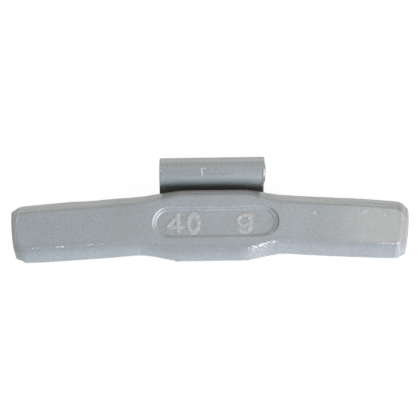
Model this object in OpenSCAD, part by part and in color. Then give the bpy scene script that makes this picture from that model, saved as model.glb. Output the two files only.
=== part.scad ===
// Clip-on wheel balance weight: a curved iron bar and the spring strip that hooks it over a rim lip.
// The weight lies on its back, as it comes to rest on a table: +X along the bar, +Y towards the
// hook, +Z up. The origin is the middle of the hook's round seat, where the rim's lip sits.
// Sections are drawn in a local frame: x along the bar, u across its face towards the hook, f out
// of its face, with u = f = 0 at the seat. The whole weight then turns about X into its rest pose.
// All lengths are in millimetres and all angles in degrees.

/* [Wheel] */
// Distance from the wheel's axle to the middle of the rim's lip
rim_r = 215; // [180:5:260]
// Lean of the weight's face away from the wheel's side plane
face_tilt = 42; // [25:1:50]

/* [Arms] */
// Length of the bar along its arc
bar_len = 79.2; // [64:0.2:96]
// Height of an arm across its face, over both edges
arm_h = 12.35; // [11:0.05:13]
// Thickness of an arm from its back to its face
arm_t = 5.2; // [4.6:0.05:5.6]
// Step from the boss's upper edge down to an arm's
arm_step = 0.8; // [0.4:0.05:1.2]
// Rise of an arm's lower edge from the boss to its end
arm_taper = 0.5; // [0:0.1:0.8]
// Width of the slope above an arm's face
arm_top_slope_w = 2.1; // [1.2:0.1:2.6]
// Depth of the slope above an arm's face
arm_top_slope_d = 1.7; // [1:0.1:2.2]
// Width of the slope below an arm's face
arm_foot_slope_w = 2.6; // [1.6:0.1:3]
// Depth of the slope below an arm's face
arm_foot_slope_d = 1.9; // [1:0.1:2.2]
// Length of the slope at each end of the bar
end_slope_w = 1.2; // [0.6:0.1:2]
// Depth of the slope at each end of the bar
end_slope_d = 1.7; // [0.8:0.1:2.2]
// Length over which the upper and lower edges draw in towards each end
end_corner_w = 1.7; // [1:0.1:2.5]
// How far the upper edge draws in at each end
end_top_corner_h = 0.7; // [0.4:0.1:1.4]
// How far the lower edge draws in at each end
end_foot_corner_h = 1.2; // [0.4:0.1:1.6]
// How much of a radial cut's lean the ends have
end_lean = 0.5; // [0:0.1:1]
// How far each end bows out
end_bow = 0.55; // [0:0.05:0.8]
// Distance of the bow's middle above the middle of an arm's height
end_bow_up = 1.4; // [0:0.1:2]

/* [Boss] */
// Height of the boss in the middle of the bar
boss_h = 14.75; // [13.5:0.05:16]
// Extra thickness of the boss over the arms
boss_rise = 0.5; // [0.2:0.1:1]
// Width of the slope above the boss's face
boss_top_slope_w = 1.2; // [0.8:0.1:1.6]
// Depth of the slope above the boss's face
boss_top_slope_d = 1.2; // [0.8:0.1:1.6]
// Width of the slope below the boss's face
boss_foot_slope_w = 2.25; // [1.5:0.05:2.6]
// Depth of the slope below the boss's face
boss_foot_slope_d = 1.7; // [1:0.1:2]
// Half length of the straight upper edge of the boss
boss_top_flat = 3; // [1:0.5:6]
// Distance from the middle at which the upper edge meets an arm
boss_top_reach = 14.5; // [12:0.5:18]
// Half length of the straight lower edge of the boss
boss_foot_flat = 4.5; // [3:0.5:8]
// Distance from the middle at which the lower edge meets an arm
boss_foot_reach = 16; // [12:0.5:18]
// Offset of the lower edge's bulge from the middle of the bar, to the right
boss_foot_shift = 0.6; // [0:0.1:1]
// Length over which the boss's face blends down to an arm's
boss_blend = 7; // [4:0.5:9]
// Distance from the bend under the hook down to the boss's upper edge
boss_below_neck = 0.9; // [0.6:0.1:1.5]
// Lean of the upper wall, which draws in towards the back
top_draft = 7; // [2:1:10]
// Lean of the lower wall, which draws in towards the back
foot_draft = 16; // [8:1:20]
// Length of the rounding on each long edge
edge_round = 0.5; // [0.3:0.1:1]

/* [Label recess] */
// Length of the recess's floor, over its round ends
label_len = 23.9; // [18:0.1:24]
// Height of the recess's floor
label_h = 5.2; // [4:0.1:6]
// Depth of the recess at its middle
label_d = 0.45; // [0.3:0.05:0.8]
// Slope of the recess's wall from the face's normal
label_wall = 45; // [20:5:55]
// Distance of the recess from the middle of the bar, to the right
label_shift = 1.3; // [0:0.1:2]
// Distance from the boss's upper edge to the middle of the recess
label_drop = 7.3; // [6.5:0.1:8]

/* [Clip] */
// Width of the spring strip over the rim's lip
clip_w = 21.2; // [19:0.1:24]
// Width of the strip's tongue in the body
tongue_w = 15; // [12:0.5:17]
// Thickness of the spring strip
clip_t = 1.1; // [0.8:0.1:1.3]
// Inner radius of the hook, which seats on the rim's lip
seat_r = 2.5; // [2.2:0.1:3]
// Turn of the hook past its front, before the strip bends back down
front_turn = 50; // [40:1:55]
// Inner radius of the bend under the hook's front
neck_r = 1.05; // [0.8:0.05:1.4]
// Lean of the rear leg towards the body
leg_lean = 5; // [3:1:7]
// Length of the rear leg's straight stretch
leg_len = 6; // [5:0.5:8]
// Inner radius of the flare at the rear leg's tip
flare_r = 1.45; // [1:0.05:2.5]
// Turn of the flare at the rear leg's tip
flare_turn = 40; // [25:1:50]
// Radius of the rear leg's corners
leg_corner_r = 2.5; // [1:0.5:3]
// How far the tongue stands out below the boss's back
tongue_out = 0.25; // [0.1:0.05:0.8]
// Offset of the clip from the middle of the bar, to the right
clip_shift = 0.3; // [0:0.1:0.8]

/* [Fit] */
// Gap between the tongue and its channel, all round
channel_gap = 0.05; // [0.02:0.01:0.1]
// Depth of the tongue's back below the body's back
tongue_inset = 0.1; // [0.05:0.05:0.3]
// Length of each lip that is pressed over the tongue
lip_len = 3.2; // [2:0.1:4]
// Overlap of each lip on the tongue
lip_over = 0.9; // [0.6:0.1:1.4]
// Thickness of each lip over the tongue
lip_t = 0.45; // [0.3:0.05:0.6]
// Width of a lip's root beside the channel
lip_root = 1.4; // [1:0.1:2]

/* [Hidden] */
$fn = 96;
coat = [0.62, 0.65, 0.67];

// The hook is bent a little tighter than its seat, which is then sized to a true circle
seat_sizing = 0.03;
// Strip's middle line at the hook, and the bend centre under its front
hook_mid_r = seat_r - seat_sizing + clip_t / 2;
neck_mid_r = neck_r + clip_t / 2;
neck_u = -(hook_mid_r + neck_mid_r) * sin(front_turn);
neck_f = (hook_mid_r + neck_mid_r) * cos(front_turn);
tongue_back_f = neck_f - neck_mid_r - clip_t / 2;
tongue_front_f = tongue_back_f + clip_t;

// Rear leg: the top and foot of its straight stretch on the middle line, and the flare's centre
leg_top_u = -hook_mid_r * sin(leg_lean);
leg_top_f = -hook_mid_r * cos(leg_lean);
leg_foot_u = leg_top_u - leg_len * cos(leg_lean);
leg_foot_f = leg_top_f + leg_len * sin(leg_lean);
flare_mid_r = flare_r + clip_t / 2;
flare_u = leg_foot_u - flare_mid_r * sin(leg_lean);
flare_f = leg_foot_f - flare_mid_r * cos(leg_lean);
flare_end = leg_lean - flare_turn;
tip_u = flare_u + flare_r * sin(flare_end);
tip_f = flare_f + flare_r * cos(flare_end);

// Levels of the body: its back, its faces and its upper and lower edges at the middle of the bar
back_f = tongue_back_f - tongue_inset;
arm_f = back_f + arm_t;
boss_f = arm_f + boss_rise;
boss_top_u = neck_u - boss_below_neck;
boss_foot_u = boss_top_u - boss_h;
arm_top_u = boss_top_u - arm_step;
arm_foot_u = arm_top_u - arm_h;

// The tongue's shoulders stand on the body's upper wall, and its end passes the lower one
shoulder_u = boss_top_u - (boss_f - boss_top_slope_d - tongue_front_f) * tan(top_draft) + channel_gap;
boss_foot_in = (boss_f - boss_foot_slope_d - back_f) * tan(foot_draft);
tongue_foot_u = boss_foot_u + boss_foot_in - tongue_out;

// The turn about X that stands the tongue's lower end and the rear leg's tip on the table
rest_tilt = atan2(tongue_back_f - tip_f, tip_u - tongue_foot_u);

// Distance from the wheel's axle to the middle of an arm, along which the bar's length is measured
arm_mid_u = arm_top_u - arm_h / 2;
bar_out = arm_mid_u * cos(face_tilt) - (back_f + arm_t / 2) * sin(face_tilt);
bar_r = rim_r + bar_out;

// How finely the strip's bends are drawn, in degrees
BEND_STEP = 5;
// How finely the bar is drawn: points round each edge, and cross sections along each half
ROUND_STEPS = 3;
BOSS_STEPS = 15;
ARM_STEPS = 5;
END_STEPS = 6;
// The boss's face is level past the recess, and then blends down to an arm's
rise_start = label_shift + label_len / 2 + 2 * label_d;
rise_end = rise_start + boss_blend;
// Share of the end slope over which it starts softly
end_soft = 0.15;
// Length of the bar over which the bow of its ends grows
bow_reach = 6;
// How deep a lip's root is sunk in the body, and where the lips lie as shares of the boss's height
lip_sunk = 0.5;
lip_places = [0.3, 0.7];

// A smooth step from 0 at a to 1 at b
function ease(a, b, x) = let (t = min(1, max(0, (x - a) / (b - a)))) t * t * (3 - 2 * t);

// A slope that starts softly at 0 and reaches 1 at 1, rounded over k on either side of its start
function soft_slope(t, k) = t < -k ? 0 : t > k ? t : (t + k) * (t + k) / (4 * k);

// One corner b of an outline, between a and c, rounded over length r by a quadratic curve
function rounded(a, b, c, r) =
    let (
        p = b + (a - b) / norm(a - b) * min(r, norm(a - b) / 2.2),
        q = b + (c - b) / norm(c - b) * min(r, norm(c - b) / 2.2)
    )
    [for (i = [0 : ROUND_STEPS])
        let (t = i / ROUND_STEPS) p * (1 - t) * (1 - t) + b * 2 * t * (1 - t) + q * t * t];

// The bar's outline at distance s along it, as rounded [u, f] points, from the lower back corner
// round the face to the upper back corner
function section(s) =
    let (
        d = abs(s),
        end = soft_slope(1 - (bar_len / 2 - d) / end_slope_w, end_soft),
        corner = soft_slope(1 - (bar_len / 2 - d) / end_corner_w, end_soft),
        taper = arm_taper * pow(max(0, d - rise_end) / (bar_len / 2 - rise_end), 2),
        at_top = 1 - ease(boss_top_flat, boss_top_reach, d),
        at_foot = 1 - ease(boss_foot_flat, boss_foot_reach, abs(s - boss_foot_shift)),
        face_f = arm_f + boss_rise * (1 - ease(rise_start, rise_end, d)) - end_slope_d * end,
        top_u = arm_top_u + (boss_top_u - arm_top_u) * at_top - end_top_corner_h * corner,
        foot_u = arm_foot_u + (boss_foot_u - arm_foot_u) * at_foot + taper
            + end_foot_corner_h * corner,
        top_w = arm_top_slope_w + (boss_top_slope_w - arm_top_slope_w) * at_top,
        top_d = (arm_top_slope_d + (boss_top_slope_d - arm_top_slope_d) * at_top) * (1 - end / 2),
        foot_w = arm_foot_slope_w + (boss_foot_slope_w - arm_foot_slope_w) * at_foot,
        foot_d = (arm_foot_slope_d + (boss_foot_slope_d - arm_foot_slope_d) * at_foot) * (1 - end / 2),
        top_in = (face_f - top_d - back_f) * tan(top_draft),
        foot_in = (face_f - foot_d - back_f) * tan(foot_draft),
        corners = [
            [foot_u + foot_in, back_f],
            [foot_u, face_f - foot_d],
            [foot_u + foot_w, face_f],
            [top_u - top_w, face_f],
            [top_u, face_f - top_d],
            [top_u - top_in, back_f]
        ],
        n = len(corners)
    )
    [for (i = [0 : n - 1])
        each rounded(corners[(i + n - 1) % n], corners[i], corners[(i + 1) % n], edge_round)];

// Distances along one half of the bar at which its cross section is drawn
half_stations = concat(
    [for (i = [1 : BOSS_STEPS]) rise_end * i / BOSS_STEPS],
    [for (i = [1 : ARM_STEPS])
        rise_end + (bar_len / 2 - end_corner_w * (1 + end_soft) - rise_end) * i / ARM_STEPS],
    [for (i = [1 : END_STEPS])
        bar_len / 2 - end_corner_w * (1 + end_soft) * (1 - i / END_STEPS)]
);
stations = concat([for (i = [len(half_stations) - 1 : -1 : 0]) -half_stations[i]], [0], half_stations);

// Distance along the bar of a point at height u, with the ends bowed out
function bowed(s, u) =
    let (off = (u - arm_mid_u - end_bow_up) / (arm_h / 2))
    s + sign(s) * end_bow * (1 - off * off) * ease(bar_len / 2 - bow_reach, bar_len / 2, abs(s));

// A section point carried along the arc round the wheel's axle, which leans by face_tilt
function on_arc(s, u, f) =
    let (
        radial = u * cos(face_tilt) - f * sin(face_tilt),
        axial = u * sin(face_tilt) + f * cos(face_tilt),
        turn = bowed(s, u) / (bar_r + (1 - end_lean) * (radial - bar_out)) * 180 / PI,
        out = (rim_r + radial) * cos(turn) - rim_r
    )
    [(rim_r + radial) * sin(turn), out * cos(face_tilt) + axial * sin(face_tilt),
        axial * cos(face_tilt) - out * sin(face_tilt)];

// The bar without its recess and channel: cross sections joined along the arc
module bar() {
    rings = [for (s = stations) [for (p = section(s)) on_arc(s, p[0], p[1])]];
    n = len(rings[0]);
    m = len(rings);
    points = [for (ring = rings) each ring];
    sides = [for (j = [0 : m - 2], i = [0 : n - 1])
        let (k = (i + 1) % n)
        each [[j * n + i, j * n + k, (j + 1) * n + k], [j * n + i, (j + 1) * n + k, (j + 1) * n + i]]];
    left_cap = [[for (i = [n - 1 : -1 : 0]) i]];
    right_cap = [[for (i = [0 : n - 1]) (m - 1) * n + i]];
    polyhedron(points = points, faces = concat(sides, left_cap, right_cap));
}

// The label recess as a solid to cut away: a flat floor with round ends and a sloping wall
module label_recess() {
    // The solid stands this far above the face, to clear its rise towards the arms
    above = 1.5;
    spread = (label_d + above) * tan(label_wall);
    half = label_len / 2 - label_h / 2;
    translate([label_shift, boss_top_u - label_drop, boss_f - label_d]) {
        for (side = [-1, 1])
            translate([side * half, 0, 0])
                cylinder(r1 = label_h / 2, r2 = label_h / 2 + spread, h = label_d + above);
        rotate([90, 0, 90])
            linear_extrude(height = 2 * half, center = true)
                polygon([[-label_h / 2, 0], [label_h / 2, 0], [label_h / 2 + spread, label_d + above],
                    [-label_h / 2 - spread, label_d + above]]);
    }
}

// The channel across the body's back, which holds the tongue
module channel() {
    past = 1;
    w = tongue_w + 2 * channel_gap;
    translate([clip_shift - w / 2, boss_foot_u - past, back_f - past])
        cube([w, boss_h + 2 * past, tongue_front_f + channel_gap - back_f + past]);
}

// The two pairs of lips of body metal that are pressed over the tongue's back
module lips() {
    wall_x = tongue_w / 2 + channel_gap;
    over_x = tongue_w / 2 - lip_over;
    root_x = wall_x + lip_root;
    seat_f = tongue_back_f - channel_gap;
    low_f = seat_f - lip_t;
    bevel = lip_t / 2;
    for (share = lip_places, side = [0, 1])
        translate([clip_shift, boss_top_u - boss_h * share, 0])
            mirror([side, 0, 0])
                rotate([90, 0, 0])
                    linear_extrude(height = lip_len, center = true)
                        polygon([[over_x, seat_f], [wall_x, seat_f], [wall_x, seat_f + lip_sunk],
                            [root_x, seat_f + lip_sunk], [root_x, back_f], [root_x - bevel, low_f + bevel],
                            [wall_x, low_f], [over_x + bevel, low_f], [over_x, low_f + bevel]]);
}

module weight_body() {
    color(coat)
        rotate([rest_tilt, 0, 0])
            translate([-clip_shift, 0, 0])
                union() {
                    difference() {
                        bar();
                        label_recess();
                        channel();
                    }
                    lips();
                }
}

// Points [f, u] along an arc of radius r round [cf, cu], from angle a0 to angle a1
function arc(cf, cu, r, a0, a1) =
    let (steps = max(2, round(abs(a1 - a0) / BEND_STEP)))
    [for (i = [0 : steps])
        let (a = a0 + (a1 - a0) * i / steps) [cf + r * cos(a), cu + r * sin(a)]];

// One side of the strip in the [f, u] plane, from the tongue's end over the hook to the rear leg's
// tip: side is 1 for the outside of the hook and -1 for its inside
function strip_side(side) =
    let (half = side * clip_t / 2)
    concat(
        [[neck_f - neck_mid_r + half, tongue_foot_u]],
        arc(neck_f, neck_u, neck_mid_r - half, 180, 180 - front_turn),
        arc(0, 0, hook_mid_r + half, -front_turn, 180 + leg_lean),
        arc(flare_f, flare_u, flare_mid_r - half, leg_lean, flare_end)
    );

// The strip seen from its end, with its outside first and its inside back to the start
module clip_profile() {
    inside = strip_side(-1);
    n = len(inside);
    polygon(concat(strip_side(1), [for (i = [n - 1 : -1 : 0]) inside[i]]));
}

// What is cut away beside the tongue, so that the strip's full width ends in two shoulders
module tongue_sides() {
    past = 1;
    side_w = (clip_w - tongue_w) / 2 + past;
    side_h = shoulder_u - tongue_foot_u + past;
    for (side = [-1, 1])
        translate([side * (tongue_w + side_w) / 2, shoulder_u - side_h / 2, tongue_back_f + clip_t / 2])
            cube([side_w, side_h, clip_t * 2], center = true);
}

// What is cut away to round the rear leg's two lower corners
module leg_corners() {
    past = 1;
    foot_u = flare_u + (flare_r + clip_t) * sin(flare_end);
    low_f = flare_f;
    high_f = (leg_foot_f + clip_t / 2 + tongue_back_f) / 2;
    for (side = [-1, 1])
        translate([side * (clip_w / 2 - leg_corner_r), foot_u + leg_corner_r, low_f])
            difference() {
                translate([side > 0 ? 0 : -leg_corner_r - past, -leg_corner_r - past, 0])
                    cube([leg_corner_r + past, leg_corner_r + past, high_f - low_f]);
                translate([0, 0, -past])
                    cylinder(r = leg_corner_r, h = high_f - low_f + 2 * past);
            }
}

module rim_clip() {
    color(coat)
        rotate([rest_tilt, 0, 0])
            difference() {
                rotate([0, -90, 0])
                    linear_extrude(height = clip_w, center = true)
                        clip_profile();
                rotate([0, 90, 0])
                    cylinder(r = seat_r, h = clip_w + 2, center = true);
                tongue_sides();
                leg_corners();
            }
}

weight_body();
rim_clip();
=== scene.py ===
"""Looks of a clip-on wheel balance weight: its cast bar with a label recess, and its bent spring clip.

Shapes are worked out in millimetres in the weight's own section frame [x, u, f]: x along the bar,
u across its face towards the hook and f out of its face, with u = f = 0 in the middle of the
hook's seat. placed() turns them into the resting pose, in metres.
"""

import bpy
import numpy as np
from mathutils import Matrix, Vector


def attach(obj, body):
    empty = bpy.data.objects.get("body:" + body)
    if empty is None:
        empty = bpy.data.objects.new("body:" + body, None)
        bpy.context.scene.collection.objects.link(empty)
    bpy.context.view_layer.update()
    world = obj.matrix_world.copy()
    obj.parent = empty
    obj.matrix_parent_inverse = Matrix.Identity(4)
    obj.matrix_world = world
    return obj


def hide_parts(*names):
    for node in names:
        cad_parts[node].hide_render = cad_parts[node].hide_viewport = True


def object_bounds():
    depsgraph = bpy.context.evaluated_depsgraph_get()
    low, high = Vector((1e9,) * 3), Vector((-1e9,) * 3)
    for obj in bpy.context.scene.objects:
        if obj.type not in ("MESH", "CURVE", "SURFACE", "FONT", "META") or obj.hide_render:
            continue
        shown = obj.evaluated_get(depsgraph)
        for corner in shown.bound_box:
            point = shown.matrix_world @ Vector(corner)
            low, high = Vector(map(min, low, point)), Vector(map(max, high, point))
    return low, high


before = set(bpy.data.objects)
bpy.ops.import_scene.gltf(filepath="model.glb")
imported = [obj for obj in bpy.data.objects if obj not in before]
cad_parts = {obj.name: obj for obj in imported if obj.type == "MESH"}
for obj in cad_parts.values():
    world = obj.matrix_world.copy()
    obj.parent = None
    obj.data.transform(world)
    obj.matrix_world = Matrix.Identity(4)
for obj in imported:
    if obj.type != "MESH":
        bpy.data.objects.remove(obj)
cad_box = [list(corner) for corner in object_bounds()]

# Lengths are in millimetres: W is a width, H a height, D a depth, T a thickness and R a radius
MM = 0.001

# The wheel that the bar curves round, and the lean of the weight's face to the wheel's side plane
RIM_R = 215.0
FACE_TILT = np.radians(42.0)

# The bar's arms, the slopes beside their face, and the fuller stretches of their edges
BAR_LEN, ARM_H, ARM_T = 79.2, 12.35, 5.2
ARM_STEP, ARM_TAPER = 0.8, 0.5
ARM_TOP_SLOPE_W, ARM_TOP_SLOPE_D = 2.1, 1.7
ARM_FOOT_SLOPE_W, ARM_FOOT_SLOPE_D = 2.6, 1.9
ARM_CREST, CREST_SPAN = 0.12, (24, 32)
FOOT_FULLNESS, FULL_FOOT_SPAN = 0.1, (33, 37.5)

# The bar's ends: their slopes, three cut corners, one round corner, and their bow and lean
END_SLOPE_W, END_SLOPE_D, END_SOFT, END_ROUND = 0.95, 1.7, 0.15, 0.3
LEFT_CORNER_W, LEFT_TOP_CORNER_H = 1.75, 0.7
RIGHT_CORNER_W, FOOT_CORNER_H = 1.25, 1.2
RIGHT_ROUND_W, RIGHT_ROUND_H = 2.0, 1.75
END_BOW, END_BOW_UP, END_BOW_REACH, END_LEAN = 0.55, 1.4, 6.0, 0.5
LEFT_FOOT_DRAW, FOOT_DRAW_SPAN = 0.21, (1.0, 4.0)

# The boss in the middle of the bar, with the flat and reach of its top edge at the left and right
BOSS_H, BOSS_RISE, BOSS_RISE_LEN, BOSS_BELOW_NECK = 14.75, 0.5, 7.0, 0.9
BOSS_TOP_SLOPE_W, BOSS_TOP_SLOPE_D = 1.2, 1.2
BOSS_FOOT_SLOPE_W, BOSS_FOOT_SLOPE_D = 2.25, 1.7
BOSS_TOP_FLAT, BOSS_TOP_REACH, BOSS_TOP_SHIFT = (5.5, 6.5), (16.5, 14.3), 0.8
BOSS_FOOT_FLAT, BOSS_FOOT_REACH, BOSS_FOOT_SHIFT, BOSS_FULLNESS = 5.2, 15.3, 0.5, 0.08
TOP_DRAFT, FOOT_DRAFT = np.tan(np.radians([7.0, 16.0]))
STRAIGHT_SPAN = 9.0, 22.0

# The rounding of the bar's edges, softer on the crease left of the boss and at the right end
BACK_ROUND, FOOT_ROUND, CREASE_ROUND, TOP_ROUND = 0.5, 0.6, 0.45, 0.7
SOFT_CREASE, SOFT_CREASE_AT, SOFT_CREASE_REACH = 1.1, -12.0, 4.5
RIGHT_SOFT_LEN, RIGHT_SOFT_CREASE, RIGHT_SOFT_TOP = 3.0, 0.9, 0.6

# The casting's wide and fine lumps, how far its skin sinks for them, and its smooth back
WIDE_LUMP_H, WIDE_LUMP_SIZE, FINE_LUMP_H, FINE_LUMP_SIZE = 0.022, 6.0, 0.01, 1.6
BAR_SINK, SMOOTH_BACK = 0.06, 1.6

# The points of the bar's outline, its cross sections, the rings that close its ends, the gaps
# between runs of sections, and the hair's breadth to either side of a sudden step
CORNER_STEPS, SIDE_POINTS = 5, (5, 8, 96, 8, 5, 18)
LABEL_FROM, LABEL_TO, LABEL_SECTIONS = -14, 16, 306
END_LEN, END_SECTIONS, LEFT_ARM_SECTIONS, RIGHT_ARM_SECTIONS = 3.0, 20, 62, 58
EDGE_RINGS, CLOSING_RINGS, CLOSING_INSETS = 5, 3, (0.7, 1.5)
END_GAP, LABEL_GAP, HAIR = 0.3, 0.2, 0.005

# The label recess, the two steps of its wall, and the mask of painted light and shade on them
LABEL_LEN, LABEL_H, LABEL_D = 23.9, 5.2, 0.45
LABEL_SHIFT, LABEL_DROP = 1.3, 7.3
LABEL_LEFT_W, LABEL_RIGHT_W, LABEL_TOP_W, LABEL_FOOT_W = 0.92, 1.0, 0.8, 0.6
LEFT_START, RIGHT_START = 0.02, -0.2
INNER_STEP, OUTER_STEP = (-0.03, 0.2), (-0.3, -0.05)
OUTER_SHARE, OUTER_MORE_AT_RIGHT = 0.4, 0.35
INNER_SHADING_LOST, LEDGE_SHADING, LEDGE_SHADING_SPAN = 0.5, 0.5, (-1.2, 0.3)
FACE_DEPTH, FACE_REACH = 1.4, 17

# The raised marks on the recess's floor, and its lumps
MARK_RISE, MARK_STROKE, MARK_SOFT = 0.2, 0.24, 0.22
MARK_WOBBLE, MARK_FADE, FLOOR_LUMP_H = 0.06, 0.25, 0.02

# The painted shadow of the hook on the bar, past its upper crease
HOOK_SHADOW_EDGE, HOOK_SHADOW_SPAN, HOOK_SHADOW_END = (1.0, 0.3), (-0.6, 0.95), 8

# The spring clip, the gaps round its tongue, and the bar's lips over it
CLIP_W, TONGUE_W, CLIP_T, STRIP_EDGE_R = 21.2, 15.0, 1.1, 0.1
SEAT_R, SEAT_SIZING, NECK_R, FLARE_R = 2.5, 0.03, 1.05, 1.45
FRONT_TURN, LEG_LEAN, FLARE_TURN = np.radians([50.0, 5.0, 40.0])
LEG_LEN, LEG_CORNER_R = 6.0, 2.5
TONGUE_OUT, CLIP_SHIFT = 0.25, 0.3
CHANNEL_GAP, TONGUE_INSET = 0.05, 0.1
LIP_LEN, LIP_OVER, LIP_T, LIP_ROOT, LIP_SUNK = 3.2, 0.9, 0.45, 1.4, 0.5

# The strip's points, how far along it the tongue and the hook's front reach, and its lumps
TONGUE_POINTS, NECK_POINTS, HOOK_POINTS, LEG_POINTS, FLARE_POINTS = 60, 16, 90, 24, 16
TONGUE_END, FRONT_END = 16, 22
STRIP_LUMP_H, STRIP_LUMP_SIZE, STRIP_SINK = 0.008, 2.2, 0.015

# The burr on the strip's right edge, and where that edge draws in, under it and behind
BURR_W, PINCH_W, REAR_DRAW, NEAR_EDGE = 0.4, 0.2, 0.3, (0.91, 1.0)
BURR_TURN, PINCH_TURN, REAR_SPAN = (-0.75, 0.0, 0.1, 0.85), (-0.85, -0.65), (28.3, 29.6)

# The strip's painted highlight on the burr, painted shade line, painted neck shadow and painted
# sheen, in millimetres along x and in radians from the hook's front to its crown
GLINT_X, GLINT_TURN = (10.58, 10.68, 10.84, 10.96), (-0.48, -0.3, -0.04, 0.1)
LINE_X, LINE_REACH, LINE_TURN = 10.36, (0.03, 0.14), (-0.1, 0.15)
NECK_TURN, NECK_LEAN, NECK_LEAN_X = (-1.12, -0.68), 0.08, (2, 10)
NECK_FADE, NECK_FADE_X = 0.1, (8.6, 10.4)
SHEEN_TURN = -0.62, -0.35, 0.05, 0.35

# The strip's middle line: the hook, the bend under its front, the rear leg and its flare
HOOK_MID_R = SEAT_R - SEAT_SIZING + CLIP_T / 2
NECK_MID_R = NECK_R + CLIP_T / 2
NECK_U = -(HOOK_MID_R + NECK_MID_R) * np.sin(FRONT_TURN)
NECK_F = (HOOK_MID_R + NECK_MID_R) * np.cos(FRONT_TURN)
TONGUE_BACK_F = NECK_F - NECK_MID_R - CLIP_T / 2
TONGUE_FRONT_F = TONGUE_BACK_F + CLIP_T
LEG_FOOT_U = -HOOK_MID_R * np.sin(LEG_LEAN) - LEG_LEN * np.cos(LEG_LEAN)
LEG_FOOT_F = -HOOK_MID_R * np.cos(LEG_LEAN) + LEG_LEN * np.sin(LEG_LEAN)
FLARE_MID_R = FLARE_R + CLIP_T / 2
FLARE_U = LEG_FOOT_U - FLARE_MID_R * np.sin(LEG_LEAN)
FLARE_F = LEG_FOOT_F - FLARE_MID_R * np.cos(LEG_LEAN)
FLARE_END = LEG_LEAN - FLARE_TURN

# The body's levels, and the turn that stands the weight on the tongue's end and the leg's tip
BACK_F = TONGUE_BACK_F - TONGUE_INSET
ARM_F = BACK_F + ARM_T
BOSS_F = ARM_F + BOSS_RISE
BOSS_TOP_U = NECK_U - BOSS_BELOW_NECK
BOSS_FOOT_U = BOSS_TOP_U - BOSS_H
ARM_TOP_U = BOSS_TOP_U - ARM_STEP
ARM_FOOT_U = ARM_TOP_U - ARM_H
ARM_MID_U = ARM_TOP_U - ARM_H / 2
RISE_START = LABEL_SHIFT + LABEL_LEN / 2 + 2 * LABEL_D
RISE_END = RISE_START + BOSS_RISE_LEN
SHOULDER_U = (BOSS_TOP_U + CHANNEL_GAP
              - (BOSS_F - BOSS_TOP_SLOPE_D - TONGUE_FRONT_F) * TOP_DRAFT)
TONGUE_FOOT_U = (BOSS_FOOT_U - TONGUE_OUT
                 + (BOSS_F - BOSS_FOOT_SLOPE_D - BACK_F) * FOOT_DRAFT)
REST_TILT = np.arctan2(TONGUE_BACK_F - FLARE_F - FLARE_R * np.cos(FLARE_END),
                       FLARE_U + FLARE_R * np.sin(FLARE_END) - TONGUE_FOOT_U)
BAR_OUT = ARM_MID_U * np.cos(FACE_TILT) - (BACK_F + ARM_T / 2) * np.sin(FACE_TILT)
BAR_R = RIM_R + BAR_OUT
LABEL_MID_Y = (BOSS_TOP_U - LABEL_DROP) * np.cos(REST_TILT) - BOSS_F * np.sin(REST_TILT)


def ease(a, b, x):
    """A smooth step from 0 at a to 1 at b: t squared times (3 - 2t) between them."""
    t = np.clip((x - a) / (b - a), 0, 1)
    return t * t * (3 - 2 * t)


def hump(a, b, c, d, x):
    """1 between b and c, with smooth steps up from a and down to d."""
    return ease(a, b, x) * (1 - ease(c, d, x))


def soft_slope(t, k):
    """Zero below -k, t itself above k, and a parabola that joins the two between."""
    return np.where(t < -k, 0, np.where(t > k, t, (t + k) ** 2 / (4 * k)))


def unevenness(a, b, size, seed, waves=14):
    """Gentle lumps about 1 high: the sum of sine waves across a and b, over the root of their
    number, with seeded directions and with lengths of 0.7 to 1.8 times the size."""
    rng = np.random.default_rng(seed)
    angle = rng.uniform(0, 2 * np.pi, waves)
    pace = 2 * np.pi / (size * rng.uniform(0.7, 1.8, waves))
    start = rng.uniform(0, 2 * np.pi, waves)
    across = np.multiply.outer(a, np.cos(angle) * pace) + np.multiply.outer(b, np.sin(angle) * pace)
    return np.sin(across + start).sum(-1) / np.sqrt(waves)


def placed(x, u, f):
    """Millimetres in the section frame to metres in the row frame: a turn about X by the rest tilt."""
    c, s = np.cos(REST_TILT), np.sin(REST_TILT)
    return np.stack([x, u * c - f * s, u * s + f * c], -1) * MM


def closed_skin(name, rings, marks=()):
    """A closed mesh over a stack of rings, shaped (rings, points, 3): quads between neighbouring
    rings, and a fan of triangles from each end ring to its middle. marks are named values on the
    rings' points, which become point attributes."""
    n, m = rings.shape[:2]
    points = np.concatenate([rings.reshape(-1, 3), rings[:1].mean(1), rings[-1:].mean(1)])
    here = np.arange(n * m).reshape(n, m)
    beside = np.roll(here, -1, axis=1)
    quads = np.stack([here[:-1], here[1:], beside[1:], beside[:-1]], -1).reshape(-1, 4)
    first = np.stack([np.full(m, n * m), here[0], beside[0]], -1)
    last = np.stack([np.full(m, n * m + 1), beside[-1], here[-1]], -1)
    mesh = bpy.data.meshes.new(name)
    mesh.from_pydata(points, [], quads.tolist() + first.tolist() + last.tolist())
    mesh.polygons.foreach_set("use_smooth", np.ones(len(mesh.polygons), bool))
    for mark, values in marks:
        on_points = np.concatenate([np.broadcast_to(values, (n, m)).ravel(), [0, 0]])
        mesh.attributes.new(mark, "FLOAT", "POINT").data.foreach_set(
            "value", on_points.astype(np.float32))
    mesh.set_sharp_from_angle(angle=np.radians(50))
    return mesh


def linked(name, data):
    """A new object in the scene."""
    made = bpy.data.objects.new(name, data)
    bpy.context.scene.collection.objects.link(made)
    return made


def piece(name, mesh):
    """An object for a finished mesh, which rides on the weight's only body."""
    made = linked(name, mesh)
    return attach(made, "root")


# The cast bar

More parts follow.
